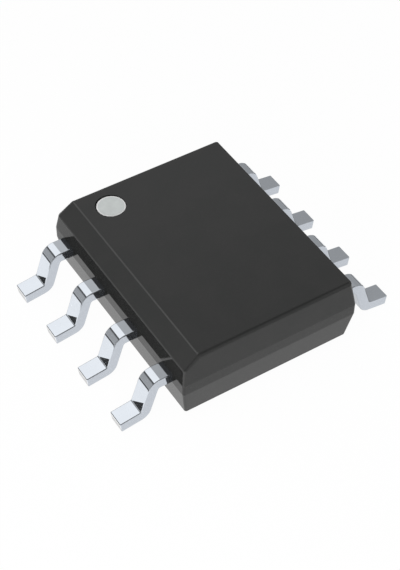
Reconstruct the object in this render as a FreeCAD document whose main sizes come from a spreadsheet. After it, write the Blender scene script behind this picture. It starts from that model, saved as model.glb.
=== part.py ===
import FreeCAD, Part
import math
import os
import Sketcher

# An eight-lead small-outline integrated circuit: a drafted moulding on two rows of bent leads.
# Inside it are the die paddle, the silicon die, its adhesive and eight bond wires.
# Millimetres. X runs across the leads, Y along the moulding towards lead 1, and Z is up.
# The origin lies under the middle of the moulding, on the plane that the toes stand on.

sizes = {
    # Moulding
    "body_length": 4.97,
    "body_width": 3.92,
    "standoff": 0.10,
    "lower_height": 0.65,
    "upper_height": 0.58,
    "draft_angle": 9.0,
    "corner_radius": 0.06,
    "edge_radius": 0.03,
    "bevel_run": 0.292,
    "bevel_drop": 0.255,
    "ejector_radius": 0.50,
    "ejector_depth": 0.02,
    # Round mark beside lead 1
    "mark_radius": 0.30,
    "mark_from_side": 0.985,
    "mark_from_end": 0.64,
    "mark_depth": 0.05,
    "mark_thickness": 0.035,
    # Leads outside the moulding
    "lead_spacing": 1.27,
    "overall_width": 6.20,
    "lead_width": 0.38,
    "lead_thickness": 0.23,
    "lead_land": 0.01,
    "shoulder": 0.25,
    "bend_radius": 0.055,
    "heel_radius": 0.045,
    "leg_slope": 18.5,
    "foot_tilt": 8.0,
    # Leads inside the moulding
    "neck_length": 0.30,
    "head_width": 0.70,
    "slot_width": 0.26,
    "slot_length": 0.09,
    "slot_from_neck": 0.07,
    "arm_width": 0.30,
    "frame_gap": 0.17,
    # Paddle and its tie bars
    "paddle_width": 2.10,
    "paddle_length": 2.90,
    "paddle_downset": 0.20,
    "paddle_corner": 0.12,
    "tie_width": 0.30,
    "tie_cover": 0.12,
    "tie_flat": 0.30,
    # Die and its adhesive
    "die_width": 1.40,
    "die_length": 1.80,
    "die_thickness": 0.25,
    "attach_thickness": 0.02,
    "attach_margin": 0.05,
    # Bond wires
    "pad_inset": 0.12,
    "pad_spacing": 0.42,
    "ball_radius": 0.045,
    "ball_height": 0.025,
    "wire_radius": 0.019,
    "loop_height": 0.15,
    "wire_tail": 0.15,
    "stitch_length": 0.21,
    "stitch_width": 0.07,
    "stitch_thickness": 0.012,
    "bond_inset": 0.14,
}

doc = FreeCAD.newDocument("SmallOutlinePackage")
sheet = doc.addObject("Spreadsheet::Sheet", "Sizes")
for row, (name, number) in enumerate(sizes.items(), start=1):
    sheet.set("A%d" % row, name)
    sheet.set("B%d" % row, str(number))
    sheet.setAlias("B%d" % row, name)
doc.recompute()

# Heights and places that follow from the sizes, from the bottom up.
half_width = "Sizes.body_width / 2"
half_length = "Sizes.body_length / 2"
body_bottom = "Sizes.standoff"
band_bottom = "(Sizes.standoff + Sizes.lower_height)"
band_height = "(Sizes.lead_thickness + 2 * Sizes.lead_land)"
band_top = "(%s + %s)" % (band_bottom, band_height)
body_top = "(%s + Sizes.upper_height)" % band_top
draft = "tan(Sizes.draft_angle * 1 deg)"
upper_inset = "Sizes.upper_height * %s" % draft
lower_inset = "Sizes.lower_height * %s" % draft
frame_bottom = "(%s + Sizes.lead_land)" % band_bottom
frame_top = "(%s + Sizes.lead_thickness)" % frame_bottom
paddle_bottom = "(%s - Sizes.paddle_downset)" % frame_bottom
paddle_top = "(%s + Sizes.lead_thickness)" % paddle_bottom
die_bottom = "(%s + Sizes.attach_thickness)" % paddle_top
die_top = "(%s + Sizes.die_thickness)" % die_bottom
head_inner = "(Sizes.paddle_width / 2 + Sizes.frame_gap)"
head_outer = "(%s - Sizes.neck_length)" % half_width
arm_inner = "(Sizes.tie_width / 2 + Sizes.frame_gap)"
arm_start = "(Sizes.paddle_length / 2 + Sizes.frame_gap)"
tie_end = "(%s - Sizes.tie_cover)" % half_length


def value(expression):
    """The number that an expression of the sheet's sizes gives now, angles in degrees."""
    found = sheet.evalExpression(expression)
    return float(getattr(found, "Value", found))


def newBody(label):
    body = doc.addObject("PartDesign::Body", label)
    body.Label = label
    return body


def newSketch(body, name, role, offset="0"):
    """A sketch on one of the body's own origin planes, moved along the plane's normal by an offset."""
    sketch = body.newObject("Sketcher::SketchObject", name)
    plane = [item for item in body.Origin.OriginFeatures if item.Role == role][0]
    sketch.AttachmentSupport = [(plane, "")]
    sketch.MapMode = "FlatFace"
    if offset != "0":
        sketch.setExpression("AttachmentOffset.Base.z", offset)
    return sketch


def bind(sketch, expression, kind, *where):
    """A dimension of a sketch, held to an expression of the sizes."""
    start = value(expression)
    if kind == "Angle":
        start = math.radians(start)
    number = sketch.addConstraint(Sketcher.Constraint(kind, *where, start))
    sketch.setExpression("Constraints[%d]" % number, expression)


def place(sketch, item, end, x, y):
    """Hold one point of a sketch item at the expressions x and y."""
    if x == "0":
        sketch.addConstraint(Sketcher.Constraint("PointOnObject", item, end, -2))
    else:
        bind(sketch, x, "DistanceX", -1, 1, item, end)
    if y == "0":
        sketch.addConstraint(Sketcher.Constraint("PointOnObject", item, end, -1))
    else:
        bind(sketch, y, "DistanceY", -1, 1, item, end)


def polygon(sketch, corners):
    """A closed outline of straight sides through corners given as pairs of expressions."""
    points = [FreeCAD.Vector(value(x), value(y), 0) for x, y in corners]
    for start, end in zip(points, points[1:] + points[:1]):
        sketch.addGeometry(Part.LineSegment(start, end))
    for number, (x, y) in enumerate(corners):
        before = (number - 1) % len(corners)
        sketch.addConstraint(Sketcher.Constraint("Coincident", before, 2, number, 1))
        place(sketch, number, 1, x, y)
    return sketch


def rectangle(sketch, left, right, front, back):
    return polygon(sketch, [(left, front), (right, front), (right, back), (left, back)])


def centredRectangle(sketch, width, length):
    left, front = "-(%s) / 2" % width, "-(%s) / 2" % length
    right, back = "(%s) / 2" % width, "(%s) / 2" % length
    return rectangle(sketch, left, right, front, back)


def circle(sketch, x, y, radius):
    middle = FreeCAD.Vector(value(x), value(y), 0)
    up = FreeCAD.Vector(0, 0, 1)
    item = sketch.addGeometry(Part.Circle(middle, up, value(radius)))
    place(sketch, item, 3, x, y)
    bind(sketch, radius, "Radius", item)
    return sketch


def roundedRectangle(sketch, width, length, radius):
    """A rectangle about the origin whose four corners are arcs of one radius."""
    x, y, r = value(width) / 2, value(length) / 2, value(radius)
    up = FreeCAD.Vector(0, 0, 1)
    corners = [(x, -y), (x, y), (-x, y), (-x, -y)]
    turns = [(1, -1), (1, 1), (-1, 1), (-1, -1)]
    starts = [(-x + r, -y), (x, -y + r), (x - r, y), (-x, y - r)]
    ends = [(x - r, -y), (x, y - r), (-x + r, y), (-x, -y + r)]
    for number in range(4):
        start = FreeCAD.Vector(*starts[number], 0)
        end = FreeCAD.Vector(*ends[number], 0)
        sketch.addGeometry(Part.LineSegment(start, end))
        middle = [corners[number][axis] - r * turns[number][axis] for axis in (0, 1)]
        first = math.radians(-90 + 90 * number)
        last = first + math.radians(90)
        round_ = Part.Circle(FreeCAD.Vector(*middle, 0), up, r)
        sketch.addGeometry(Part.ArcOfCircle(round_, first, last))
    for number in range(8):
        following = (number + 1) % 8
        sketch.addConstraint(Sketcher.Constraint("Tangent", number, 2, following, 1))
    for side, kind in ((0, "Horizontal"), (2, "Vertical"), (4, "Horizontal"), (6, "Vertical")):
        sketch.addConstraint(Sketcher.Constraint(kind, side))
    for arc in (3, 5, 7):
        sketch.addConstraint(Sketcher.Constraint("Equal", 1, arc))
    sketch.addConstraint(Sketcher.Constraint("Symmetric", 1, 3, 5, 3, -1, 1))
    bind(sketch, radius, "Radius", 1)
    bind(sketch, width, "DistanceX", 6, 1, 2, 1)
    bind(sketch, length, "DistanceY", 0, 1, 4, 1)
    return sketch


def openPath(sketch, corners):
    """Straight runs through corners given as pairs of expressions."""
    points = [FreeCAD.Vector(value(x), value(y), 0) for x, y in corners]
    for number, (start, end) in enumerate(zip(points, points[1:])):
        sketch.addGeometry(Part.LineSegment(start, end))
        place(sketch, number, 1, *corners[number])
        if number:
            sketch.addConstraint(Sketcher.Constraint("Coincident", number - 1, 2, number, 1))
    place(sketch, len(points) - 2, 2, *corners[-1])
    return sketch


def bentPath(sketch, corners, radii, angles):
    """Straight runs joined by tangent arcs: four corners, and two of the arcs' radii.

    The first and last corners are held in place. The directions of the three runs are held
    too, so the corners between follow from them."""
    points = [FreeCAD.Vector(value(x), value(y), 0) for x, y in corners]
    cut = []
    for number, radius in enumerate(radii, start=1):
        corner = points[number]
        back = (points[number - 1] - corner).normalize()
        ahead = (points[number + 1] - corner).normalize()
        half = back.getAngle(ahead) / 2
        reach = value(radius) / math.tan(half)
        bisector = (back + ahead).normalize()
        middle = corner + bisector * (value(radius) / math.sin(half))
        cut.append((corner + back * reach, corner + ahead * reach, middle))
    starts = [points[0], cut[0][1], cut[1][1]]
    ends = [cut[0][0], cut[1][0], points[3]]
    runs = [sketch.addGeometry(Part.LineSegment(*pair)) for pair in zip(starts, ends)]
    arcs = []
    for (first, last, middle), radius in zip(cut, radii):
        arm, other = first - middle, last - middle
        clockwise = arm.cross(other).z < 0
        begin, finish = (other, arm) if clockwise else (arm, other)
        round_ = Part.Circle(middle, FreeCAD.Vector(0, 0, 1), value(radius))
        low = math.atan2(begin.y, begin.x)
        high = math.atan2(finish.y, finish.x)
        arcs.append((sketch.addGeometry(Part.ArcOfCircle(round_, low, high)), clockwise))
    for number, (arc, clockwise) in enumerate(arcs):
        near, far = (2, 1) if clockwise else (1, 2)
        sketch.addConstraint(Sketcher.Constraint("Tangent", runs[number], 2, arc, near))
        sketch.addConstraint(Sketcher.Constraint("Tangent", arc, far, runs[number + 1], 1))
        bind(sketch, radii[number], "Radius", arc)
    place(sketch, runs[0], 1, *corners[0])
    place(sketch, runs[2], 2, *corners[3])
    for run, angle in zip(runs, angles):
        if angle in ("Horizontal", "Vertical"):
            sketch.addConstraint(Sketcher.Constraint(angle, run))
        else:
            bind(sketch, angle, "Angle", run)
    return runs


def pad(body, name, sketch, length, both=False):
    feature = body.newObject("PartDesign::Pad", name)
    feature.Profile = sketch
    feature.Midplane = both
    feature.setExpression("Length", length)
    doc.recompute()
    return feature


def pocket(body, name, sketch, length, both=False, upward=False):
    feature = body.newObject("PartDesign::Pocket", name)
    feature.Profile = sketch
    feature.Midplane = both
    feature.Reversed = upward
    feature.setExpression("Length", length)
    doc.recompute()
    return feature


def loft(body, name, lower, upper):
    feature = body.newObject("PartDesign::AdditiveLoft", name)
    feature.Profile = lower
    feature.Sections = [upper]
    feature.Ruled = True
    doc.recompute()
    return feature


def pipe(body, name, section, path, corners="Transformed"):
    feature = body.newObject("PartDesign::AdditivePipe", name)
    feature.Profile = section
    feature.Spine = path
    feature.Transition = corners
    doc.recompute()
    return feature


def edgesAt(shape, height):
    """Names of the edges that lie wholly at one height."""
    near = 1e-6
    flat = lambda edge: abs(edge.BoundBox.ZMin - height) < near and edge.BoundBox.ZLength < near
    return ["Edge%d" % (n + 1) for n, edge in enumerate(shape.Edges) if flat(edge)]


# Moulding: a band as high as the leads, and two halves drafted away from it.
def makeMouldBlank():
    body = newBody("mould_blank")
    full = ("Sizes.body_width", "Sizes.body_length", "Sizes.corner_radius")
    inset = lambda amount: tuple("(%s - 2 * %s)" % (size, amount) for size in full[:2]) + full[2:]
    band = roundedRectangle(newSketch(body, "band_outline", "XY_Plane", band_bottom), *full)
    pad(body, "band", band, band_height)
    for name, start, end, amount in (
        ("upper", band_top, body_top, upper_inset),
        ("lower", band_bottom, body_bottom, lower_inset),
    ):
        wide = roundedRectangle(newSketch(body, name + "_wide", "XY_Plane", start), *full)
        narrow = newSketch(body, name + "_narrow", "XY_Plane", end)
        loft(body, name + "_half", wide, roundedRectangle(narrow, *inset(amount)))

    # The long top edge on lead 1's side is cut off by a bevel.
    low_x = "(-%s + (Sizes.upper_height - Sizes.bevel_drop) * %s)" % (half_width, draft)
    low_z = "(%s - Sizes.bevel_drop)" % body_top
    high_x = "(-%s + %s + Sizes.bevel_run)" % (half_width, upper_inset)
    beyond_x = "(%s - %s)" % (high_x, low_x)
    outer = ("%s - %s" % (low_x, beyond_x), "%s - Sizes.bevel_drop" % low_z)
    inner = ("%s + %s" % (high_x, beyond_x), "%s + Sizes.bevel_drop" % body_top)
    sketch = polygon(newSketch(body, "bevel_outline", "XZ_Plane"), [outer, inner, (outer[0], inner[1])])
    bevel = pocket(body, "bevel", sketch, "2 * Sizes.body_length", both=True)

    # Every outer edge but those of the band has a small round.
    slope = FreeCAD.Vector(value(beyond_x), 0, value("Sizes.bevel_drop")).normalize()
    corner = FreeCAD.Vector(value(high_x), 0, value(body_top))
    away = FreeCAD.Vector(-slope.z, 0, slope.x)
    near = 1e-5
    shape = bevel.Shape
    names = edgesAt(shape, value(body_top)) + edgesAt(shape, value(body_bottom))
    for number, edge in enumerate(shape.Edges, start=1):
        spots = [edge.valueAt(at) for at in (edge.FirstParameter, edge.LastParameter)]
        if all(abs((spot - corner).dot(away)) < near for spot in spots):
            names.append("Edge%d" % number)
    rounds = body.newObject("PartDesign::Fillet", "edge_rounds")
    rounds.Base = (bevel, sorted(set(names)))
    rounds.setExpression("Radius", "Sizes.edge_radius")
    doc.recompute()

    mark_x, mark_y = markPlace()
    recess = circle(newSketch(body, "mark_outline", "XY_Plane", body_top), mark_x, mark_y, "Sizes.mark_radius")
    pocket(body, "mark_recess", recess, "Sizes.mark_depth")
    pin = circle(newSketch(body, "ejector_outline", "XY_Plane", body_bottom), "0", "0", "Sizes.ejector_radius")
    pocket(body, "ejector_recess", pin, "Sizes.ejector_depth", upward=True)
    return body


def markPlace():
    """Centre of the round mark, from the moulding's widest outline."""
    return "-%s + Sizes.mark_from_side" % half_width, "%s - Sizes.mark_from_end" % half_length


def makeMark():
    body = newBody("pin_1_mark")
    floor = "%s - Sizes.mark_depth" % body_top
    disc = circle(newSketch(body, "disc_outline", "XY_Plane", floor), *markPlace(), "Sizes.mark_radius")
    pad(body, "disc", disc, "Sizes.mark_thickness")
    return body


def leadRow(number):
    """Rows from the middle, in half spacings with their sign along Y, for leads 1 to 8."""
    return (3, 1, -1, -3, -3, -1, 1, 3)[number - 1]


# Lead: a stamped strip, bent down and out to a foot, with a wide anchored head in the moulding.
# Each is drawn on the +X side, and those of leads 1 to 4 are turned half round.
def makeLead(number):
    body = newBody("lead_%d" % number)
    row = leadRow(number)
    turned = number <= 4

    half_head = "Sizes.head_width / 2"
    head = rectangle(newSketch(body, "head_outline", "XY_Plane", frame_bottom),
                     head_inner, head_outer, "-" + half_head, half_head)
    pad(body, "head", head, "Sizes.lead_thickness")

    if abs(row) == 3:
        # Corner leads carry an arm that reaches round the paddle's end.
        outward = -1 if (row < 0) != turned else 1
        local = "%d * (%s - 1.5 * Sizes.lead_spacing)" % (outward, arm_start)
        edges = [local, "%s + %d * Sizes.arm_width" % (local, outward)]
        front, back = edges[::outward]
        arm = rectangle(newSketch(body, "arm_outline", "XY_Plane", frame_bottom),
                        arm_inner, head_outer, front, back)
        pad(body, "arm", arm, "Sizes.lead_thickness")

    # The strip's middle line: flat out of the moulding, down the leg, and along the tilted foot.
    bend = "(Sizes.bend_radius + Sizes.lead_thickness / 2)"
    heel = "(Sizes.heel_radius + Sizes.lead_thickness / 2)"
    middle = "(%s + Sizes.lead_thickness / 2)" % frame_bottom
    steep = "(90 deg - Sizes.leg_slope * 1 deg)"
    tilt = "(Sizes.foot_tilt * 1 deg)"
    toe_x = "(Sizes.overall_width / 2 - Sizes.lead_thickness / 2 * sin%s)" % tilt
    toe_z = "(Sizes.lead_thickness / 2 * cos%s)" % tilt
    bend_x = "(%s + Sizes.shoulder)" % half_width
    corner_x = "(%s + %s * tan(%s / 2))" % (bend_x, bend, steep)
    # The leg's line and the foot's line cross at the heel.
    drop = "(%s - %s)" % (middle, toe_z)
    run = "(%s - %s)" % (toe_x, corner_x)
    fall = "((%s - %s * tan%s) / (1 - tan%s / tan%s))" % (drop, run, tilt, tilt, steep)
    heel_x = "(%s + %s / tan%s)" % (corner_x, fall, steep)
    heel_z = "(%s - %s)" % (middle, fall)
    path = newSketch(body, "strip_path", "XZ_Plane")
    corners = [(head_inner, middle), (corner_x, middle), (heel_x, heel_z), (toe_x, toe_z)]
    runs = bentPath(path, corners, [bend, heel], ["Horizontal", "-" + steep, "-" + tilt])
    bind(path, bend_x, "DistanceX", -1, 1, runs[0], 2)
    half_lead = "Sizes.lead_width / 2"
    section = rectangle(newSketch(body, "strip_section", "YZ_Plane", head_inner),
                        "-" + half_lead, half_lead, frame_bottom, frame_top)
    pipe(body, "strip", section, path)

    # Moulding compound fills this slot and locks the head in place.
    slot_outer = "(%s - Sizes.slot_from_neck)" % head_outer
    half_slot = "Sizes.slot_width / 2"
    slot = rectangle(newSketch(body, "slot_outline", "XY_Plane", frame_top),
                     "%s - Sizes.slot_length" % slot_outer, slot_outer, "-" + half_slot, half_slot)
    pocket(body, "locking_slot", slot, "2 * Sizes.lead_thickness", both=True)

    body.setExpression("Placement.Base.y", "%s * Sizes.lead_spacing / 2" % row)
    body.Placement.Rotation = FreeCAD.Rotation(FreeCAD.Vector(0, 0, 1), 180 if turned else 0)
    return body


# Paddle: the downset plate that carries the die, with a tie bar at each end.
def makePaddle():
    body = newBody("die_paddle")
    plate = roundedRectangle(newSketch(body, "plate_outline", "XY_Plane", paddle_bottom),
                             "Sizes.paddle_width", "Sizes.paddle_length", "Sizes.paddle_corner")
    pad(body, "plate", plate, "Sizes.lead_thickness")
    for side, sign in (("back", ""), ("front", "-")):
        rise = "%s(Sizes.paddle_length / 2)" % sign
        level = "%s(%s - Sizes.tie_flat)" % (sign, tie_end)
        end = sign + tie_end
        corners = [("0", paddle_bottom), (rise, paddle_bottom), (level, frame_bottom),
                   (end, frame_bottom), (end, frame_top), (level, frame_top),
                   (rise, paddle_top), ("0", paddle_top)]
        bar = polygon(newSketch(body, side + "_tie_outline", "YZ_Plane"), corners)
        pad(body, side + "_tie_bar", bar, "Sizes.tie_width", both=True)
    return body


def makeAttach():
    body = newBody("die_attach")
    outline = centredRectangle(newSketch(body, "attach_outline", "XY_Plane", paddle_top),
                               "(Sizes.die_width + 2 * Sizes.attach_margin)",
                               "(Sizes.die_length + 2 * Sizes.attach_margin)")
    pad(body, "layer", outline, "Sizes.attach_thickness")
    return body


def makeDie():
    body = newBody("silicon_die")
    outline = centredRectangle(newSketch(body, "die_outline", "XY_Plane", die_bottom),
                               "Sizes.die_width", "Sizes.die_length")
    pad(body, "block", outline, "Sizes.die_thickness")
    return body


# Bond wire: a ball on the die, a kinked loop that falls straight away, and a stitch on the lead.
# It is drawn along +X from the ball, then turned and moved onto its own pad.
def makeWire(number):
    body = newBody("bond_wire_%d" % number)
    row = leadRow(number)
    side = -1 if number <= 4 else 1
    end = 1 if row > 0 else -1

    ball_x = "%d * (Sizes.die_width / 2 - Sizes.pad_inset)" % side
    ball_y = "%d * Sizes.pad_spacing / 2" % row
    if abs(row) == 3:
        stitch_x = "%d * (%s + Sizes.bond_inset)" % (side, arm_inner)
        stitch_y = "%d * (%s + Sizes.arm_width / 2)" % (end, arm_start)
    else:
        stitch_x = "%d * (%s + Sizes.bond_inset)" % (side, head_inner)
        stitch_y = "%d * Sizes.lead_spacing / 2" % row
    across = "(%s - %s)" % (stitch_x, ball_x)
    along = "(%s - %s)" % (stitch_y, ball_y)
    span = "sqrt(%s * %s + %s * %s)" % (across, across, along, along)

    ball = circle(newSketch(body, "ball_outline", "XY_Plane"), "0", "0", "Sizes.ball_radius")
    pad(body, "ball", ball, "Sizes.ball_height")

    landing = "(%s - %s)" % (frame_top, die_top)
    fall = "((Sizes.loop_height - %s) / %s)" % (landing, span)
    tail = ("(%s + Sizes.wire_tail)" % span, "(%s - Sizes.wire_tail * %s)" % (landing, fall))
    path = newSketch(body, "wire_path", "XZ_Plane")
    openPath(path, [("0", "Sizes.ball_height"), ("0", "Sizes.loop_height"), tail])
    section = circle(newSketch(body, "wire_section", "XY_Plane", "Sizes.ball_height"),
                     "0", "0", "Sizes.wire_radius")
    pipe(body, "wire", section, path, "Right corner")

    # The tail is trimmed level with the lead's top, and the stitch lies flat on it.
    reach = "2 * Sizes.wire_tail"
    waste = rectangle(newSketch(body, "tail_outline", "XZ_Plane"), "%s - %s" % (span, reach),
                      "%s + %s" % (span, reach), "%s - %s" % (landing, reach), landing)
    pocket(body, "tail_trim", waste, reach, both=True)
    half_stitch = "Sizes.stitch_length / 2"
    half_wide = "Sizes.stitch_width / 2"
    stitch = rectangle(newSketch(body, "stitch_outline", "XY_Plane", landing),
                       "%s - %s" % (span, half_stitch), "%s + %s" % (span, half_stitch),
                       "-" + half_wide, half_wide)
    pad(body, "stitch", stitch, "Sizes.stitch_thickness")

    body.Placement.Rotation = FreeCAD.Rotation(FreeCAD.Vector(0, 0, 1), value("atan2(%s; %s)" % (along, across)))
    body.setExpression("Placement.Base.x", ball_x)
    body.setExpression("Placement.Base.y", ball_y)
    body.setExpression("Placement.Base.z", die_top)
    body.setExpression("Placement.Rotation.Angle", "atan2(%s; %s)" % (along, across))
    return body


blank = makeMouldBlank()
mark = makeMark()
inner = [makeLead(number) for number in range(1, 9)]
inner += [makePaddle(), makeAttach(), makeDie()]
inner += [makeWire(number) for number in range(1, 9)]

# The compound is moulded round everything inside it, so all of that is cut out of it.
core = doc.addObject("Part::MultiFuse", "moulded_round")
core.Shapes = inner
mould = doc.addObject("Part::Cut", "mould_body")
mould.Label = "mould_body"
mould.Base = blank
mould.Tool = core
doc.recompute()

pieces = [mould, mark] + inner
for item in doc.Objects:
    if {"Invalid", "Error"} & set(item.State):
        raise RuntimeError("%s did not build: %s" % (item.Label, item.State))
    if item.TypeId == "PartDesign::Pocket" and item.Shape.Volume >= item.BaseFeature.Shape.Volume:
        raise RuntimeError("%s cuts nothing" % item.Label)
for piece in pieces:
    if piece.Shape.isNull() or not piece.Shape.isValid():
        raise RuntimeError("%s has no valid shape" % piece.Label)
    if len(piece.Shape.Solids) != 1:
        raise RuntimeError("%s isn't one solid" % piece.Label)

os.makedirs("parts", exist_ok=True)
for piece in pieces:
    piece.Shape.exportStep("parts/%s.step" % piece.Label)
    box = piece.Shape.BoundBox
    print("%-14s volume %.6f  z %.3f to %.3f" % (piece.Label, piece.Shape.Volume, box.ZMin, box.ZMax))
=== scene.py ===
import math

import bpy
import numpy as np
from mathutils import Matrix, Vector
from mathutils.geometry import tessellate_polygon


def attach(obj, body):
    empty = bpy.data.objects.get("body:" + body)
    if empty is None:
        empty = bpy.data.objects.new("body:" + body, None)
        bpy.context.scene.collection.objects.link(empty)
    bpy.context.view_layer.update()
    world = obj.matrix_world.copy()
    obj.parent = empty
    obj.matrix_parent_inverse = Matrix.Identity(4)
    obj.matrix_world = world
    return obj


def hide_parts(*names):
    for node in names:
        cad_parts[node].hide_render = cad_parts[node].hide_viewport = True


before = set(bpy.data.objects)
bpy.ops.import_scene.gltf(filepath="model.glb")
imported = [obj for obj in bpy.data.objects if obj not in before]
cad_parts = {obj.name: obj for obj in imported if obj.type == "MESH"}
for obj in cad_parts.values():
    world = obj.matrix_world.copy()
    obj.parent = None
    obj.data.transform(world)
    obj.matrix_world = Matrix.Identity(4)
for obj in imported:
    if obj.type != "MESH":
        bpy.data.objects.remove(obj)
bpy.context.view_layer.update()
millimetre = 0.001
print("frame loaded:", len(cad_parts), "solids")


# A value on its way through a node tree. Operators on it add Math nodes, also after a plain number.
class Field:
    def __init__(self, graph, socket):
        self.graph = graph
        self.socket = socket

    def maths(self, operation, *others):
        return self.graph.node("ShaderNodeMath", {"operation": operation}, [self, *others])

    # The same with a plain number first
    def mathsAfter(self, operation, number):
        return self.graph.node("ShaderNodeMath", {"operation": operation}, [number, self])

    def __add__(self, other):
        return self.maths("ADD", other)

    def __sub__(self, other):
        return self.maths("SUBTRACT", other)

    def __mul__(self, other):
        return self.maths("MULTIPLY", other)

    def __truediv__(self, other):
        return self.maths("DIVIDE", other)

    def __pow__(self, other):
        return self.maths("POWER", other)

    def __gt__(self, other):
        return self.maths("GREATER_THAN", other)

    def __abs__(self):
        return self.maths("ABSOLUTE")

    def __rsub__(self, other):
        return self.mathsAfter("SUBTRACT", other)

    def __rtruediv__(self, other):
        return self.mathsAfter("DIVIDE", other)

    __radd__ = __add__
    __rmul__ = __mul__

    def atLeast(self, other):
        return self.maths("MAXIMUM", other)

    def atMost(self, other):
        return self.maths("MINIMUM", other)

    # 0 below low, 1 above high, and a smooth rise between them
    def rise(self, low, high):
        return self.graph.node("ShaderNodeMapRange", {"interpolation_type": "SMOOTHSTEP"}, {
            "Value": self, "From Min": low, "From Max": high,
        })

    # 1 between low and high, with soft ends
    def between(self, low, high, soft):
        return self.rise(low - soft, low + soft) * (1 - self.rise(high - soft, high + soft))


class Graph:
    def __init__(self, tree):
        self.tree = tree
        tree.nodes.clear()

    # Adds a node: its settings first, then the values or links of its sockets. Returns an output, or several.
    def node(self, kind, settings=None, inputs=None, output=0):
        made = self.tree.nodes.new(kind)
        for name, value in (settings or {}).items():
            setattr(made, name, value)
        pairs = inputs.items() if isinstance(inputs, dict) else enumerate(inputs or [])
        for key, value in pairs:
            if isinstance(value, Field):
                self.tree.links.new(value.socket, made.inputs[key])
            else:
                made.inputs[key].default_value = value
        if isinstance(output, list):
            return [Field(self, made.outputs[each]) for each in output]
        return Field(self, made.outputs[output]) if len(made.outputs) else None

    # Object coordinates in millimetres
    def place(self):
        metres = self.node("ShaderNodeTexCoord", output="Object")
        settings = {"operation": "SCALE"}
        return self.node("ShaderNodeVectorMath", settings, {"Vector": metres, "Scale": 1 / millimetre})

    def split(self, vector):
        return self.node("ShaderNodeSeparateXYZ", inputs=[vector], output=["X", "Y", "Z"])

    # Cloudy noise from 0 to 1, with features about size millimetres across
    def noise(self, place, size, detail, stretch=None):
        if stretch:
            place = self.node("ShaderNodeVectorMath", {"operation": "MULTIPLY"}, [place, stretch])
        return self.node("ShaderNodeTexNoise", None, {"Vector": place, "Scale": 1 / size, "Detail": detail})

    # Cells about size millimetres across, square or not: the distance from their middles, or a colour each
    def cells(self, place, size, square, output):
        settings = {"distance": "CHEBYCHEV" if square else "EUCLIDEAN"}
        values = {"Vector": place, "Scale": 1 / size}
        return self.node("ShaderNodeTexVoronoi", settings, values, output=output)

    # Which rays come from the camera, from a mirror, and through glass
    def rays(self):
        kinds = ["Is Camera Ray", "Is Glossy Ray", "Is Transmission Ray"]
        return self.node("ShaderNodeLightPath", output=kinds)

    def mix(self, factor, first, second):
        settings = {"data_type": "RGBA"}
        first = first if isinstance(first, Field) else (*first, 1.0)
        second = second if isinstance(second, Field) else (*second, 1.0)
        return self.node("ShaderNodeMix", settings, {0: factor, 6: first, 7: second}, output=2)

    # A bump of the given height in millimetres from a field of 0 to 1
    def bump(self, field, height):
        return self.node("ShaderNodeBump", None, {"Height": field, "Distance": height * millimetre})


def shaded(colour, share):
    return tuple(share * each for each in colour)


def newMaterial(name, build, preview):
    material = bpy.data.materials.new(name)
    material.use_nodes = True
    material.diffuse_color = (*preview, 1.0)
    graph = Graph(material.node_tree)
    shader = build(graph)
    graph.node("ShaderNodeOutputMaterial", None, {"Surface": shader})
    return material


# Satin epoxy compound: nearly black, faintly mottled, with the fine spark-eroded texture of the mould, and
# highlights painted along the bevel's edges.
# Sizes and heights are in millimetres, and edges are the noise values between which a colour comes in.
compound = {
    "colour": (0.0245, 0.0252, 0.0248),
    "paler": (0.0268, 0.0270, 0.0266),
    "mottle": 0.6,
    "mottleEdges": (0.35, 0.65),
    "filler": (0.045, 0.045, 0.044),
    "fillerShare": 0.25,
    "fillerEdges": (0.64, 0.72),
    # Paler lines painted along the bevel's edges as highlights: their colour, heights, distances across and soft
    # edges
    "paintedHighlight": (0.048, 0.049, 0.048),
    "paintedHighlightHigh": (1.572, 1.590, -1.600, -1.555),
    "paintedHighlightLow": (1.311, 1.337, -1.92, -1.88),
    "paintedHighlightSoft": (0.004, 0.006),
    "roughness": 0.060,
    "roughnessSpread": 0.02,
    "index": 1.49,
    "grain": 0.022,
    "grainHeight": 0.000012,
}


def buildCompound(g):
    place = g.place()
    mottle = g.noise(place, compound["mottle"], detail=3.0)
    grain = g.noise(place, compound["grain"], detail=2.0)
    filler = g.noise(place, compound["grain"] / 2, detail=0.0).rise(*compound["fillerEdges"])
    colour = g.mix(mottle.rise(*compound["mottleEdges"]), compound["colour"], compound["paler"])
    colour = g.mix(filler * compound["fillerShare"], colour, compound["filler"])
    # Painted highlights: the bevel's two long edges are painted paler, as thin lines of light. A band of heights
    # and distances across for each
    x, y, z = g.split(place)
    softHigh, softAcross = compound["paintedHighlightSoft"]
    for low, high, left, right in (compound["paintedHighlightHigh"], compound["paintedHighlightLow"]):
        paintedHighlight = z.between(low, high, softHigh) * x.between(left, right, softAcross)
        colour = g.mix(paintedHighlight, colour, compound["paintedHighlight"])
    roughness = compound["roughness"] + (mottle + grain - 1.0) * compound["roughnessSpread"]
    return g.node("ShaderNodeBsdfPrincipled", None, {
        "Base Color": colour, "Roughness": roughness, "IOR": compound["index"],
        "Normal": g.bump(grain, compound["grainHeight"]),
    })


# Bright tin: rolled faces like mirrors, sheared sides a little duller and bluer, the toe's cut end, and a dark
# reflection painted along the toe's upper edge
tin = {
    "colour": (0.745, 0.79, 0.848),
    "cloudShade": 0.975,
    "cloud": 0.35,
    "cloudEdges": (0.3, 0.7),
    "stamped": (0.80, 0.85, 0.925),
    "cut": (1.0, 1.0, 1.0),
    # A near-black line painted along the toe's upper edge: a painted reflection of the dark room
    "paintedDarkReflection": (0.10, 0.115, 0.13),
    "metallic": 0.95,
    "roughness": 0.035,
    "stampedRoughness": 0.06,
    "roughnessSpread": 0.02,
    "grain": 0.03,
    "drawnStretch": (0.15, 1.0, 0.15),
    "grainShare": 0.6,
    "grainHeight": 0.00003,
}


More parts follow.
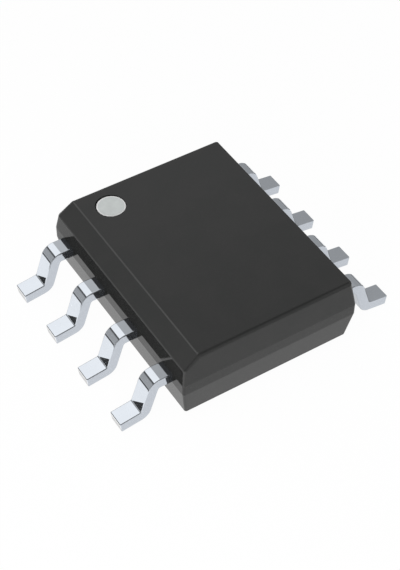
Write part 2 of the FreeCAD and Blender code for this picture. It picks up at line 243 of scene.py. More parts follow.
def buildTin(g):
    place = g.place()
    stamped = g.node("ShaderNodeAttribute", {"attribute_name": "stamped"}, output="Fac")
    grain = g.noise(place, tin["grain"], detail=2.0)
    cloud = g.noise(place, tin["cloud"], detail=2.0)
    drawn = g.noise(place, tin["grain"], detail=1.0, stretch=tin["drawnStretch"])
    colour = g.mix(cloud.rise(*tin["cloudEdges"]), tin["colour"], shaded(tin["colour"], tin["cloudShade"]))
    colour = g.mix(stamped, colour, tin["stamped"])
    # The cut end's colour, then a dark reflection painted on the toe's upper edge
    for name in ("cut", "paintedDarkReflection"):
        share = g.node("ShaderNodeAttribute", {"attribute_name": name}, output="Fac")
        colour = g.mix(share, colour, tin[name])
    roughness = tin["roughness"] + (grain + cloud - 1.0) * tin["roughnessSpread"]
    roughness = roughness + stamped * (tin["stampedRoughness"] - tin["roughness"])
    texture = grain * tin["grainShare"] + drawn * (1 - tin["grainShare"])
    return g.node("ShaderNodeBsdfPrincipled", None, {
        "Base Color": colour, "Metallic": tin["metallic"], "Roughness": roughness,
        "Normal": g.bump(texture, tin["grainHeight"]),
    })


# Pale ink: chalky, with a lighter ring along its edge
ink = {
    "centre": (-0.981, 1.839),
    "radius": 0.295,
    "colour": (0.632, 0.665, 0.656),
    "cloudShade": 0.93,
    "cloud": 0.14,
    "cloudEdges": (0.3, 0.7),
    "ring": (0.86, 0.86, 0.86),
    "ringWidth": 0.024,
    "ringSoft": 0.006,
    "roughness": 0.55,
    "roughnessSpread": 0.2,
    "grain": 0.02,
    "grainHeight": 0.0015,
}


def buildInk(g):
    place = g.place()
    x, y, z = g.split(place)
    across, along = x - ink["centre"][0], y - ink["centre"][1]
    radius = (across * across + along * along) ** 0.5
    grain = g.noise(place, ink["grain"], detail=2.0)
    cloud = g.noise(place, ink["cloud"], detail=2.0)
    colour = g.mix(cloud.rise(*ink["cloudEdges"]), ink["colour"], shaded(ink["colour"], ink["cloudShade"]))
    ringStart = ink["radius"] - ink["ringWidth"]
    colour = g.mix(radius.rise(ringStart - ink["ringSoft"], ringStart + ink["ringSoft"]), colour, ink["ring"])
    return g.node("ShaderNodeBsdfPrincipled", None, {
        "Base Color": colour, "Roughness": ink["roughness"] + (grain - 0.5) * ink["roughnessSpread"],
        "Normal": g.bump(grain, ink["grainHeight"]),
    })


# Rolled copper alloy: warm metal with lines along the strip and a few tarnished clouds
copper = {
    "colour": (0.80, 0.46, 0.30),
    "tarnished": (0.60, 0.30, 0.19),
    "cloud": 0.5,
    "cloudEdges": (0.4, 0.75),
    "lines": 0.02,
    "lineStretch": (1.0, 0.08, 1.0),
    "lineHeight": 0.0006,
    "roughness": 0.26,
    "roughnessSpread": 0.14,
}


def buildCopper(g):
    place = g.place()
    rolled = g.noise(place, copper["lines"], detail=2.0, stretch=copper["lineStretch"])
    cloud = g.noise(place, copper["cloud"], detail=3.0)
    colour = g.mix(cloud.rise(*copper["cloudEdges"]), copper["colour"], copper["tarnished"])
    return g.node("ShaderNodeBsdfPrincipled", None, {
        "Base Color": colour, "Metallic": 1.0,
        "Roughness": copper["roughness"] + (rolled - 0.5) * copper["roughnessSpread"],
        "Normal": g.bump(rolled, copper["lineHeight"]),
    })


# Silver-filled adhesive: a grey paste with bright flakes
adhesive = {
    "flake": (0.72, 0.72, 0.70),
    "paste": (0.42, 0.42, 0.41),
    "flakeSize": 1 / 60,
    "flakeEdges": (0.1, 0.5),
    "metallic": 0.8,
    "metallicEdges": (0.1, 0.4),
    "roughness": 0.38,
    "roughnessSpread": 0.2,
    "flakeHeight": 0.002,
}


def buildAdhesive(g):
    flakes = g.cells(g.place(), adhesive["flakeSize"], False, "Distance")
    colour = g.mix(flakes.rise(*adhesive["flakeEdges"]), adhesive["flake"], adhesive["paste"])
    silver = 1 - flakes.rise(*adhesive["metallicEdges"])
    return g.node("ShaderNodeBsdfPrincipled", None, {
        "Base Color": colour, "Metallic": silver * adhesive["metallic"],
        "Roughness": adhesive["roughness"] + flakes * adhesive["roughnessSpread"],
        "Normal": g.bump(flakes, adhesive["flakeHeight"]),
    })


# Passivated silicon: dark mirror with a grid of fine circuit blocks
silicon = {
    "blockColours": ((0.10, 0.11, 0.16), (0.24, 0.20, 0.28)),
    "blockSize": 1 / 9,
    "line": (0.45, 0.42, 0.36),
    "lineSize": 1 / 34,
    "lineEdges": (0.32, 0.42),
    "lineShare": 0.6,
    "lineHeight": 0.0004,
    "metallic": 0.5,
    "metallicSpread": 0.2,
    "roughness": 0.12,
    "roughnessSpread": 0.1,
}


def buildSilicon(g):
    place = g.place()
    tone, second, third = g.split(g.cells(place, silicon["blockSize"], True, "Color"))
    lines = g.cells(place, silicon["lineSize"], True, "Distance")
    colour = g.mix(tone, *silicon["blockColours"])
    colour = g.mix(lines.rise(*silicon["lineEdges"]) * silicon["lineShare"], colour, silicon["line"])
    return g.node("ShaderNodeBsdfPrincipled", None, {
        "Base Color": colour, "Metallic": silicon["metallic"] + second * silicon["metallicSpread"],
        "Roughness": silicon["roughness"] + third * silicon["roughnessSpread"],
        "Normal": g.bump(lines, silicon["lineHeight"]),
    })


# Drawn gold wire, with faint rings left by the die it was drawn through
gold = {
    "colours": ((0.93, 0.68, 0.26), (0.86, 0.58, 0.20)),
    "rings": 0.012,
    "ringHeight": 0.0002,
    "roughness": 0.14,
    "roughnessSpread": 0.1,
}


def buildGold(g):
    drawn = g.noise(g.place(), gold["rings"], detail=1.0)
    return g.node("ShaderNodeBsdfPrincipled", None, {
        "Base Color": g.mix(drawn, *gold["colours"]), "Metallic": 1.0,
        "Roughness": gold["roughness"] + drawn * gold["roughnessSpread"],
        "Normal": g.bump(drawn, gold["ringHeight"]),
    })


# Each finish, with its plain colour for the viewport
compoundFinish = newMaterial("compoundFinish", buildCompound, (0.03, 0.03, 0.03))
tinFinish = newMaterial("tinFinish", buildTin, (0.75, 0.76, 0.78))
inkFinish = newMaterial("inkFinish", buildInk, (0.54, 0.56, 0.55))
copperFinish = newMaterial("copperFinish", buildCopper, (0.7, 0.4, 0.27))
adhesiveFinish = newMaterial("adhesiveFinish", buildAdhesive, (0.6, 0.6, 0.58))
siliconFinish = newMaterial("siliconFinish", buildSilicon, (0.15, 0.15, 0.2))
goldFinish = newMaterial("goldFinish", buildGold, (0.9, 0.65, 0.25))
print("materials made")


# A closed grid: rows of points from one pole to the other, columns that run all round, faces outwards.
# points is rows x columns x 3, in millimetres. The first and last rows are poles, given as single points.
def closedGrid(first, points, last):
    rows, columns = points.shape[:2]
    number = np.arange(rows * columns).reshape(rows, columns) + 1
    following = np.roll(number, -1, axis=1)
    quads = np.stack([number[:-1], following[:-1], following[1:], number[1:]], axis=-1).reshape(-1, 4)
    start = np.stack([np.zeros(columns, int), following[0], number[0]], axis=-1)
    end = np.stack([number[-1], following[-1], np.full(columns, rows * columns + 1)], axis=-1)
    vertices = np.vstack([[first], points.reshape(-1, 3), [last]])
    return vertices, [quads, start, end]


# Smooth normals in which large flat faces outweigh the narrow roundings beside them: a face counts by the
# square of its area
def evenNormals(mesh):
    normal, area = np.zeros(len(mesh.polygons) * 3), np.zeros(len(mesh.polygons))
    mesh.polygons.foreach_get("normal", normal)
    mesh.polygons.foreach_get("area", area)
    corners, counts = np.zeros(len(mesh.loops), int), np.zeros(len(mesh.polygons), int)
    mesh.loops.foreach_get("vertex_index", corners)
    mesh.polygons.foreach_get("loop_total", counts)
    share = np.repeat(normal.reshape(-1, 3) * (area / area.max())[:, None] ** 2, counts, axis=0)
    total = np.zeros((len(mesh.vertices), 3))
    np.add.at(total, corners, share)
    total /= np.linalg.norm(total, axis=1)[:, None]
    mesh.normals_split_custom_set_from_vertices(total.tolist())


# One mesh object from islands of (vertices, arrays of faces), in millimetres
def newPiece(name, islands, material, nodeName):
    vertices, faces, before = [], [], 0
    for points, groups in islands:
        vertices.append(np.asarray(points, float))
        for group in groups:
            faces += (np.asarray(group) + before).tolist()
        before += len(points)
    mesh = bpy.data.meshes.new(name)
    mesh.from_pydata((np.vstack(vertices) * millimetre).tolist(), [], faces)
    mesh.update()
    mesh.shade_smooth()
    evenNormals(mesh)
    piece = bpy.data.objects.new(name, mesh)
    bpy.context.scene.collection.objects.link(piece)
    mesh.materials.append(material)
    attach(piece, "root")
    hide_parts(nodeName)
    return piece


# Moulding, in millimetres and degrees. The corner radii: right back, left back, left front and right front.
moulding = {
    "length": 4.97,
    "width": 3.92,
    "bottom": 0.10,
    "bandBottom": 0.75,
    "bandTop": 1.00,
    "top": 1.58,
    "draft": 9.0,
    "cornerRadii": (0.06, 0.10, 0.05, 0.06),
    "bottomRadius": 0.012,
    "rightRadius": 0.030,
    "frontRadius": 0.105,
    "backRadius": 0.085,
    "bevelRadius": 0.025,
    "creaseRadius": 0.012,
    "bevelRun": 0.292,
    "bevelDrop": 0.255,
    "bevelCorner": 0.050,
    "bevelCornerRun": 0.06,
    "bevelCornerBelow": 0.02,
    "markCentre": (-0.988, 1.848),
    "markRadius": 0.31,
    "markFloor": 1.53,
    "markInner": 0.05,
    "ejectorRadius": 0.50,
    "ejectorDepth": 0.02,
    "ejectorInner": 0.03,
    "rimRadius": 0.006,
    "columnStep": 2.5,
    "fewestColumns": 8,
    "arcColumns": 8,
    "roundRows": 6,
    "rimRows": 4,
}


# The columns of the moulding: which of eight stretches each is on (side, corner, side ...) and how far along.
# They stand at equal angles round the mark, so that the top face can close in on the mark's round rim.
def mouldColumns(left, right, front, back, rightBack, leftBack, leftFront, rightFront):
    markX, markY = moulding["markCentre"]
    step = math.radians(moulding["columnStep"])
    stretches, places = [], []
    # Each side: how far it is from the mark, and its start and end measured from the mark's foot on it
    sides = [
        (right - markX, front + rightFront - markY, back - rightBack - markY),
        (back - markY, markX - right + rightBack, markX - left - leftBack),
        (markX - left, markY - back + leftBack, markY - front - leftFront),
        (markY - front, left + leftFront - markX, right - rightFront - markX),
    ]
    for number, (distance, start, end) in enumerate(sides):
        low, high = math.atan2(start, distance), math.atan2(end, distance)
        count = max(moulding["fewestColumns"], math.ceil((high - low) / step))
        reach = np.tan(np.linspace(low, high, count + 1)) * distance
        places.append((reach - start) / (end - start))
        stretches.append(np.full(count + 1, 2 * number))
        corner = np.linspace(0, 1, moulding["arcColumns"] + 1)[1:-1]
        places.append(corner)
        stretches.append(np.full(len(corner), 2 * number + 1))
    return np.concatenate(stretches), np.concatenate(places)


# A rounded rectangle's points at those columns: straight sides, and quarter circles at the corners
def mouldRing(stretch, place, left, right, front, back, rightBack, leftBack, leftFront, rightFront):
    near, far = 1 - np.cos(place * math.pi / 2), 1 - np.sin(place * math.pi / 2)
    x = np.choose(stretch, [
        np.full_like(place, right), right - rightBack * near,
        right - rightBack - (right - left - rightBack - leftBack) * place, left + leftBack * far,
        np.full_like(place, left), left + leftFront * near,
        left + leftFront + (right - left - leftFront - rightFront) * place, right - rightFront * far,
    ])
    y = np.choose(stretch, [
        front + rightFront + (back - front - rightFront - rightBack) * place, back - rightBack * far,
        np.full_like(place, back), back - leftBack * near,
        back - leftBack - (back - front - leftBack - leftFront) * place, front + leftFront * far,
        np.full_like(place, front), front + rightFront * near,
    ])
    return x, y


# The moulding's profile as points (inset, height): straight runs, with an arc for every corner between them
def roundedProfile(corners, radii, steps):
    corners = np.asarray(corners, float)
    points = [corners[0][None]]
    for before, corner, after, radius in zip(corners, corners[1:], corners[2:], radii):
        back = (before - corner) / np.linalg.norm(before - corner)
        ahead = (after - corner) / np.linalg.norm(after - corner)
        half = math.acos(np.clip(back @ ahead, -1, 1)) / 2
        middle = (back + ahead) / np.linalg.norm(back + ahead) * radius / math.sin(half) + corner
        start = corner + back * radius / math.tan(half) - middle
        end = corner + ahead * radius / math.tan(half) - middle
        angle = math.atan2(start[0] * end[1] - start[1] * end[0], start @ end)
        turns = np.linspace(0, angle, steps)[:, None]
        points.append(middle + np.cos(turns) * start + np.sin(turns) * np.array([-start[1], start[0]]))
    points.append(corners[-1][None])
    return np.vstack(points)


# Rounded rectangles one above the other, each inset by the sides' profiles at its height. Circles close them in,
# below on the ejector's mark and above on the recess round the ink.
def makeMoulding():
    m = moulding
    slope = math.tan(math.radians(m["draft"]))
    halfWidth, halfLength, top = m["width"] / 2, m["length"] / 2, m["top"]
    upperInset = (top - m["bandTop"]) * slope
    lowerInset = (m["bandBottom"] - m["bottom"]) * slope
    bevelLow = -halfWidth + (top - m["bevelDrop"] - m["bandTop"]) * slope
    bevelHigh = -halfWidth + upperInset + m["bevelRun"]
    flat = 0.3  # reach of the flat runs beyond the rounded edges, cut off again below

    # Right, front and back: inset from the widest outline against height. Left: the same up to the bevel.
    wall = [(lowerInset + flat, m["bottom"]), (lowerInset, m["bottom"]), (0, m["bandBottom"]),
            (0, m["bandTop"]), (upperInset, top), (upperInset + flat, top)]
    radii = [m["bottomRadius"], m["creaseRadius"], m["creaseRadius"]]
    steps = m["roundRows"]
    bevelled = roundedProfile(
        wall[:4] + [(bevelLow + halfWidth, top - m["bevelDrop"]), (bevelHigh + halfWidth, top),
                    (bevelHigh + halfWidth + flat, top)],
        radii + [m["bevelRadius"]] * 2, steps)[1:-1]
    # The plain sides get rows at the heights of the bevel's lower edge, so that all have as many
    extra = bevelled[3 * steps:4 * steps, 1]
    between = np.column_stack([(extra - m["bandTop"]) * slope, extra])
    plain = []
    for topRadius in (m["rightRadius"], m["frontRadius"], m["backRadius"]):
        side = roundedProfile(wall, radii + [topRadius], steps)[1:-1]
        plain.append(np.vstack([side[:3 * steps], between, side[3 * steps:]]))
    rightSide, frontSide, backSide = plain
    # The corners beside the bevel sharpen as it cuts into them
    cut = np.clip((bevelled[:, 0] - bevelLow - halfWidth) / m["bevelCornerRun"], 0, 1)
    cut = cut * (bevelled[:, 1] > top - m["bevelDrop"] - m["bevelCornerBelow"])
    rightBack, leftBack, leftFront, rightFront = m["cornerRadii"]

    # A row's left, right, front and back, and its corner radii
    def ringSizes(row):
        return (bevelled[row, 0] - halfWidth, halfWidth - rightSide[row, 0],
                frontSide[row, 0] - halfLength, halfLength - backSide[row, 0],
                rightBack, leftBack + (m["bevelCorner"] - leftBack) * cut[row],
                leftFront + (m["bevelCorner"] - leftFront) * cut[row], rightFront)

    stretch, place = mouldColumns(*ringSizes(-1))
    rows = []
    for row in range(len(bevelled)):
        x, y = mouldRing(stretch, place, *ringSizes(row))
        # The sides' heights, in the order of the stretches, run into each other along the corners
        heights = [side[row, 1] for side in (rightSide, backSide, bevelled, frontSide)]
        onSide = np.take(heights, stretch // 2)
        following = np.take(heights, (stretch // 2 + 1) % 4)
        z = onSide + (following - onSide) * place * (stretch % 2)
        rows.append(np.column_stack([x, y, z]))

    # Circles with a point in each column's direction: round the ejector's mark below, and round the ink above
    def circles(ring, centre, profile):
        away = ring[:, :2] - centre
        away = away / np.linalg.norm(away, axis=1)[:, None]
        return [np.column_stack([centre + away * radius, np.full(len(away), height)])
                for radius, height in profile]

    rim = m["rimRadius"]
    bend = np.linspace(0, math.pi / 2, m["rimRows"])
    ejectorFloor = m["bottom"] + m["ejectorDepth"]
    below = [(m["ejectorRadius"] - m["ejectorInner"], ejectorFloor), (m["ejectorRadius"] - rim, ejectorFloor)]
    below += [(m["ejectorRadius"], ejectorFloor - rim)]
    below += list(zip(m["ejectorRadius"] + rim * (1 - np.cos(bend)), m["bottom"] + rim * (1 - np.sin(bend))))
    above = list(zip(m["markRadius"] + rim * (1 - np.cos(bend)), top - rim * (1 - np.sin(bend))))[::-1]
    above += [(m["markRadius"], m["markFloor"] + rim), (m["markRadius"] - rim, m["markFloor"]),
              (m["markRadius"] - m["markInner"], m["markFloor"])]
    start, end = circles(rows[0], np.zeros(2), below), circles(rows[-1], np.array(m["markCentre"]), above)
    grid = np.stack(start + rows + end)
    island = closedGrid((0, 0, ejectorFloor), grid, (*m["markCentre"], m["markFloor"]))
    return newPiece("mouldingCompound", [island], compoundFinish, "mould_body")


makeMoulding()
print("moulding made")


# Leads, in millimetres and degrees, as on the +X side with Y from the lead's middle. "rows" has their places
# along the moulding in half pitches, and "slot" has its two ends across and half its length along.
lead = {
    "flatTop": 0.99,
    "thickness": 0.23,
    "width": 0.38,
    "start": 1.66,
    "bendStart": 2.21,
    "bendRadius": 0.055,
    "heelRadius": 0.045,
    "legSlope": 18.5,
    "footTilt": 8.0,
    "overall": 3.10,
    "edgeRadius": 0.024,
    "edgeSteps": 5,
    "arcSteps": 32,
    "toeRound": 0.020,
    "toeRows": 4,
    "pitch": 1.27,
    "rows": (3, 1, -1, -3, -3, -1, 1, 3),
    "stampedAbove": 0.9,
    "headInner": 1.22,
    "headWidth": 0.70,
    "slot": (1.50, 1.59, 0.13),
    "armInner": 0.32,
    "armEdges": (-0.285, 0.015),
}


# The strip's middle line: straight runs with circular bends between them, as points and unit directions
def leadLine():
    half = lead["thickness"] / 2
    steep, tilt = math.radians(90 - lead["legSlope"]), math.radians(lead["footTilt"])
    bend, heel = lead["bendRadius"] + half, lead["heelRadius"] + half
    middle = lead["flatTop"] - half
    toe = np.array([lead["overall"] - half * math.sin(tilt), half * math.cos(tilt)])
    cornerX = lead["bendStart"] + bend * math.tan(steep / 2)
    drop, run = middle - toe[1], toe[0] - cornerX
    fall = (drop - run * math.tan(tilt)) / (1 - math.tan(tilt) / math.tan(steep))
    heelCorner = np.array([cornerX + fall / math.tan(steep), middle - fall])
    turn = np.linspace(0, steep, lead["arcSteps"])
    first = np.column_stack([lead["bendStart"] + bend * np.sin(turn), middle - bend * (1 - np.cos(turn))])
    back = np.linspace(steep, tilt, lead["arcSteps"])
    reach = heel * math.tan((steep - tilt) / 2)
    heelStart = heelCorner - reach * np.array([math.cos(steep), -math.sin(steep)])
    heelCentre = heelStart + heel * np.array([math.sin(steep), math.cos(steep)])
    second = heelCentre + heel * np.column_stack([-np.sin(back), -np.cos(back)])
    start = np.array([[lead["start"], middle]])
    points = np.vstack([start, first, second, [toe]])
    angles = np.concatenate([[0], turn, back, [tilt]])
    return points, np.column_stack([np.cos(angles), -np.sin(angles)])


# The strip's section: a rectangle with small quarter rounds, one after the other and anticlockwise
def leadSection(inset=0.0):
    radius = lead["edgeRadius"]
    wide, high = lead["width"] / 2 - radius, lead["thickness"] / 2 - radius
    turn = np.linspace(0, math.pi / 2, lead["edgeSteps"])
    parts = []
    for number, (sideY, sideZ) in enumerate([(-1, 1), (-1, -1), (1, -1), (1, 1)]):
        angle = math.pi / 2 * (number + 1) + turn
        parts.append(np.column_stack([sideY * wide + (radius - inset) * np.cos(angle),
                                      sideZ * high + (radius - inset) * np.sin(angle)]))
    return np.vstack(parts)


# The part of the lead inside the moulding: a plate between two heights with a slot through it. At the corner
# leads it has an arm, as listed for a side of 1 and mirrored for -1. The other leads have 0.
def leadPlate(armSide):
    inner, outer, half = lead["headInner"], lead["start"], lead["headWidth"] / 2
    outline = [(outer, -half), (outer, half), (inner, half), (inner, -half)]
    if armSide:
        low, high = lead["armEdges"]
        outline = [(outer, -half), (outer, half), (inner, half), (inner, high), (lead["armInner"], high),
                   (lead["armInner"], low), (inner, low), (inner, -half)]
    outline = np.array(outline)
    if armSide < 0:
        outline = (outline * (1, -1))[::-1]
    slotLow, slotHigh, slotHalf = lead["slot"]
    hole = np.array([(slotLow, -slotHalf), (slotLow, slotHalf), (slotHigh, slotHalf), (slotHigh, -slotHalf)])
    loops = [outline, hole]
    flat = np.vstack(loops)
    triangles = np.array(tessellate_polygon([[Vector((x, y, 0)) for x, y in loop] for loop in loops]))
    corner = flat[triangles]
    one, two = corner[:, 1] - corner[:, 0], corner[:, 2] - corner[:, 0]
    backward = one[:, 0] * two[:, 1] - one[:, 1] * two[:, 0] < 0
    triangles[backward] = triangles[backward][:, ::-1]
    top, bottom = lead["flatTop"], lead["flatTop"] - lead["thickness"]
    count = len(flat)
    points = np.vstack([np.column_stack([flat, np.full(count, level)]) for level in (top, bottom)])
    walls, before = [], 0
    for loop in loops:
        this = np.arange(len(loop)) + before
        following = np.roll(this, -1)
        walls.append(np.column_stack([this + count, following + count, following, this]))
        before += len(loop)
    return points, [triangles, triangles[:, ::-1] + count, np.vstack(walls)]


# The section carried along the middle line and drawn in at the toe, with the plate behind it. Leads 1 to 4 are
# turned half round.
def makeLead(number):
    row = lead["rows"][number - 1]
    turned = number <= 4
    line, direction = leadLine()
    up = np.column_stack([-direction[:, 1], direction[:, 0]])
    # The last rows draw in to round the toe's edges
    bend = np.linspace(0, math.pi / 2, lead["toeRows"])
    radius = lead["toeRound"]
    lastRows = line[-1] - direction[-1] * (radius * (1 - np.sin(bend)))[:, None]
    line = np.vstack([line[:-1], lastRows])
    up = np.vstack([up[:-1], np.repeat(up[-1:], len(bend), axis=0)])
    insets = np.concatenate([np.zeros(len(line) - len(bend)), radius * (1 - np.cos(bend))])
    sections = np.stack([leadSection(inset) for inset in insets])
    x = line[:, None, 0] + sections[..., 1] * up[:, None, 0]
    z = line[:, None, 1] + sections[..., 1] * up[:, None, 1]
    strip = np.stack([x, sections[..., 0], z], axis=-1)
    ends = [(line[0, 0], 0, line[0, 1]), (line[-1, 0], 0, line[-1, 1])]
    # The arm reaches inwards on the side that faces the middle of the row
    armSide = 0
    if abs(row) == max(lead["rows"]):
        armSide = -1 if (row < 0) != turned else 1
    islands = [closedGrid(ends[0], strip, ends[1]), leadPlate(armSide)]
    sign = -1 if turned else 1
    shift = np.array([0, row * lead["pitch"] / 2, 0])
    islands = [(np.asarray(points) * (sign, sign, 1) + shift, faces) for points, faces in islands]
    piece = newPiece("tinLead%d" % number, islands, tinFinish, "lead_%d" % number)
    # Which finish each face has, as 1 or 0: sheared sides, the toe's cut end, and a dark reflection painted on
    # its upper edge
    mesh = piece.data
    normals = np.zeros(len(mesh.polygons) * 3)
    mesh.polygons.foreach_get("normal", normals)
    stamped = np.abs(normals.reshape(-1, 3)[:, 1]) > lead["stampedAbove"]
    columns = sections.shape[1]
    quads = (len(line) - 1) * columns
    upperEdge = 3 * lead["edgeSteps"] + 2  # the column in the middle of the last quarter round
    cut, paintedDarkReflection = np.zeros(len(mesh.polygons)), np.zeros(len(mesh.polygons))
    cut[quads - columns:quads] = 1
    cut[quads + columns:quads + 2 * columns] = 1
    # Painted dark reflection: a dark line on the toe's upper edge
    paintedDarkReflection[quads - 2 * columns + upperEdge:quads - columns] = 1
    for name, values in (("stamped", stamped), ("cut", cut), ("paintedDarkReflection", paintedDarkReflection)):
        mesh.attributes.new(name, "FLOAT", "FACE").data.foreach_set("value", values.astype(np.float32))
    return piece


for number in range(1, len(lead["rows"]) + 1):
    makeLead(number)
print("leads made")


# The ink in the mark's recess: a disc whose rim rounds down just short of the recess's side
mark = {
    "centre": ink["centre"],
    "radius": ink["radius"],
    "floor": moulding["markFloor"],
    "level": 1.565,
    "rimDrop": 0.004,
    "rimWidth": 0.012,
    "rimRows": 8,
    "footInset": 0.02,
    "footRise": 0.002,
    "shares": (0.75, 0.5, 0.25),
    "columns": 128,
}


# Circles that follow the rim's profile, closed at the middle below and above
def makeMark():
    turn = np.linspace(0, 2 * math.pi, mark["columns"], endpoint=False)
    inwards = np.linspace(0, 1, mark["rimRows"])
    profile = [(mark["radius"] - mark["footInset"], mark["floor"])]
    profile += [(mark["radius"], mark["floor"] + mark["footRise"])]
    # The rim's drop below the level grows with the square of the way outwards
    rimHeight = mark["level"] - mark["rimDrop"] * (1 - inwards) ** 2
    profile += list(zip(mark["radius"] - mark["rimWidth"] * inwards, rimHeight))
    profile += [(mark["radius"] * share, mark["level"]) for share in mark["shares"]]
    radius, height = np.array(profile).T
    x = mark["centre"][0] + radius[:, None] * np.cos(turn)
    y = mark["centre"][1] + radius[:, None] * np.sin(turn)
    grid = np.stack([x, y, np.repeat(height[:, None], len(turn), axis=1)], axis=-1)
    island = closedGrid((*mark["centre"], mark["floor"]), grid, (*mark["centre"], mark["level"]))
    return newPiece("markInk", [island], inkFinish, "pin_1_mark")


makeMark()
print("mark made")

# The solids sealed inside keep their shapes and get their finishes
inside = {"die_paddle": copperFinish, "die_attach": adhesiveFinish, "silicon_die": siliconFinish}
inside.update({"bond_wire_%d" % number: goldFinish for number in range(1, 9)})
for nodeName, finish in inside.items():
    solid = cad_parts[nodeName]
    solid.data.materials.clear()
    solid.data.materials.append(finish)
print("inner solids dressed")

# The studio: strengths, and edges as run over rise from straight up, across or along the moulding. Those of
# the floor are in millimetres.
studio = {
    "softbox": 1.07,
    "boxAcross": (-0.65, 0.345),
    "boxAlong": (1.6, 1.8),
    "rimAcross": (-1.25, -0.86),
    "dark": 0.05,
    "left": 0.365,
    "right": (0.40, 0.345),
    "rightAcross": (0.42, 1.2),
    "back": 0.16,
    "backAlong": (0.66, 0.94),
    "front": 0.0,
    "frontAlong": (-0.22, 0.08),
    "frontLow": (-1.35, -1.05),
    "frontAcross": (0.55, 0.70),
    "soft": 0.02,
    "lowest": 0.02,
    "horizonAbove": (0.0, 0.04),
    "horizonBelow": (-0.1, 0.0),
    "floorColour": 0.95,
    "floorFlat": 0.97,
    "floorHalf": 150.0,
    "floorLevel": -0.002,
    "paper": 0.8,
    "paperSpread": 0.01,
    # The grey strip is a painted shadow of the object, seen only in mirrors: where it lies across, its soft
    # edge, its strength
    "shadowStripAcross": (-3.11, 3.8),
    "shadowStripSoft": 0.01,
    "strip": 0.66,
    "card": 1.0,
    "cardEdge": (4.55, 4.65),
    "cardRim": (8.4, 9.4),
    "beyond": 0.42,
}

# Lamps in watts and millimetres: one above, and a low one from the camera's side that lifts the walls
lamps = {
    "key": {"power": 0.0064, "place": (-14.0, -10.0, 42.0), "size": 30.0},
    "fill": {"power": 0.0100, "place": (-28.0, -26.0, 12.0), "size": 20.0},
}


def makeRoom():
    s = studio
    world = bpy.data.worlds.new("softRoom")
    bpy.context.scene.world = world
    world.use_nodes = True
    g = Graph(world.node_tree)
    x, y, z = g.split(g.node("ShaderNodeTexCoord", output="Generated"))
    height = z.atLeast(s["lowest"])
    across, along = x / height, y / height
    overhead = z.rise(*s["horizonAbove"]) * (1 - along.rise(*s["boxAlong"])) * along.rise(*s["frontAlong"])
    box = across.between(*s["boxAcross"], s["soft"]) * overhead
    boxLeft = s["boxAcross"][0]
    rim = across.rise(*s["rimAcross"]) * (1 - across.rise(boxLeft - s["soft"], boxLeft)) * overhead
    # Left of the softbox one grey, right of it a grey that falls off sideways and rises towards the back
    toRight = across.rise(*s["rightAcross"])
    near, far = s["right"]
    right = near + toRight * (far - near) + along.rise(*s["backAlong"]) * (1 - toRight) * s["back"]
    strength = s["left"] + (right - s["left"]) * (across > 0)
    # Low at the front, and not too far to the right, a dark stretch
    front = (1 - along.rise(*s["frontAlong"])) * along.rise(*s["frontLow"])
    front = front * (1 - across.rise(*s["frontAcross"]))
    for share, level in ((front, s["front"]), (box, s["softbox"]), (rim, s["dark"])):
        strength = strength + share * (level - strength)
    camera, glossy, clear = g.rays()
    below = 1 - z.rise(*s["horizonBelow"])
    seen = (camera + (glossy + clear) * below).atMost(1.0)
    strength = strength + (1.0 - strength) * seen
    light = g.node("ShaderNodeBackground", None, {"Color": (1, 1, 1, 1), "Strength": strength})
    g.node("ShaderNodeOutputWorld", None, {"Surface": light})


# White paper. Bright metal shows it as a grey strip where the object stands, which is a painted shadow,
# white cards beside it, then a dark gap, and grey beyond.
def buildFloor(g):
    s = studio
    place = g.place()
    x, y, z = g.split(place)
    away = abs(x)
    # Painted shadow: in mirrors the floor is greyer in the strip where the object stands
    shine = s["card"] + x.between(*s["shadowStripAcross"], s["shadowStripSoft"]) * (s["strip"] - s["card"])
    shine = shine + away.rise(*s["cardEdge"]) * (s["dark"] - s["card"])
    shine = shine + away.rise(*s["cardRim"]) * (s["beyond"] - s["dark"])
    tone = s["floorColour"] + (g.noise(place, s["paper"], detail=3.0) - 0.5) * s["paperSpread"]
    colour = g.node("ShaderNodeCombineColor", None, [tone, tone, tone])
    matt = g.node("ShaderNodeBsdfDiffuse", None, {"Color": colour})
    camera, glossy, clear = g.rays()
    mirrored = (glossy + clear).atMost(1.0)
    strength = 1.0 + (shine - 1.0) * mirrored
    bright = g.node("ShaderNodeEmission", None, {"Color": (1, 1, 1, 1), "Strength": strength})
    share = (camera * s["floorFlat"] + mirrored).atMost(1.0)
    return g.node("ShaderNodeMixShader", None, [share, matt, bright])


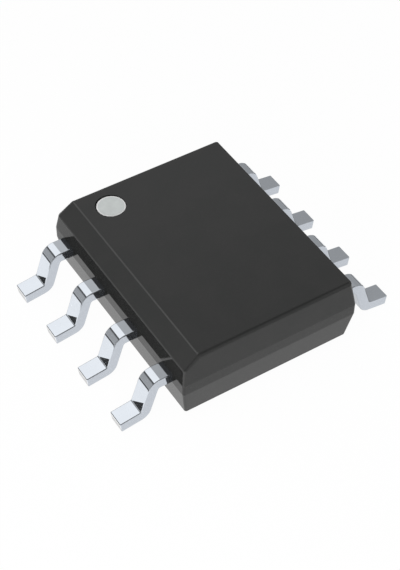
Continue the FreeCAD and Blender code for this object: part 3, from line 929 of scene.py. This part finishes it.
def makeFloor():
    half, level = studio["floorHalf"] * millimetre, studio["floorLevel"] * millimetre
    corners = [(-half, -half, level), (half, -half, level), (half, half, level), (-half, half, level)]
    mesh = bpy.data.meshes.new("floor")
    mesh.from_pydata(corners, [], [(0, 1, 2, 3)])
    floor = bpy.data.objects.new("floor", mesh)
    bpy.context.scene.collection.objects.link(floor)
    mesh.materials.append(newMaterial("floorPaper", buildFloor, (0.9, 0.9, 0.9)))


def makeLamp(name):
    light = bpy.data.lights.new(name, "AREA")
    light.shape = "DISK"
    light.size = lamps[name]["size"] * millimetre
    light.energy = lamps[name]["power"]
    lamp = bpy.data.objects.new(name, light)
    bpy.context.scene.collection.objects.link(lamp)
    lamp.location = [each * millimetre for each in lamps[name]["place"]]
    lamp.rotation_euler = (-lamp.location).to_track_quat("-Z", "Y").to_euler()
    lamp.visible_glossy = False


makeRoom()
makeFloor()
for name in lamps:
    makeLamp(name)
print("studio made")

# The camera stands where the photograph was taken from: lengths in millimetres, angles in degrees
view = {
    "azimuth": -32.6348,
    "elevation": 47.0413,
    "roll": 0.6064,
    "place": (-10.6703, -16.6094, 21.5808),
    "sensor": 36.0,
    "lens": 91.162,
    "clip": (0.5, 2000.0),
}


def makeCamera():
    turn, rise, roll = (math.radians(view[name]) for name in ("azimuth", "elevation", "roll"))
    back = np.array([math.sin(turn) * math.cos(rise), -math.cos(turn) * math.cos(rise), math.sin(rise)])
    right = np.cross(-back, (0, 0, 1))
    right = right / np.linalg.norm(right)
    up = np.cross(right, -back)
    rolledRight = math.cos(roll) * right + math.sin(roll) * up
    rolledUp = -math.sin(roll) * right + math.cos(roll) * up
    matrix = np.eye(4)
    matrix[:3, :3] = np.column_stack([rolledRight, rolledUp, back])
    matrix[:3, 3] = np.array(view["place"]) * millimetre
    data = bpy.data.cameras.new("camera")
    data.sensor_fit = "AUTO"
    data.sensor_width = view["sensor"]
    data.lens = view["lens"]
    data.clip_start, data.clip_end = (each * millimetre for each in view["clip"])
    camera = bpy.data.objects.new("camera", data)
    bpy.context.scene.collection.objects.link(camera)
    camera.matrix_world = Matrix(matrix.tolist())
    bpy.context.scene.camera = camera


makeCamera()
bpy.context.scene.view_settings.view_transform = "Standard"
bpy.context.scene.cycles.glossy_bounces = 0  # mirrored faces don't mirror again, as in the photograph
print("camera made")

# The scene is brought up to date
bpy.context.view_layer.update()
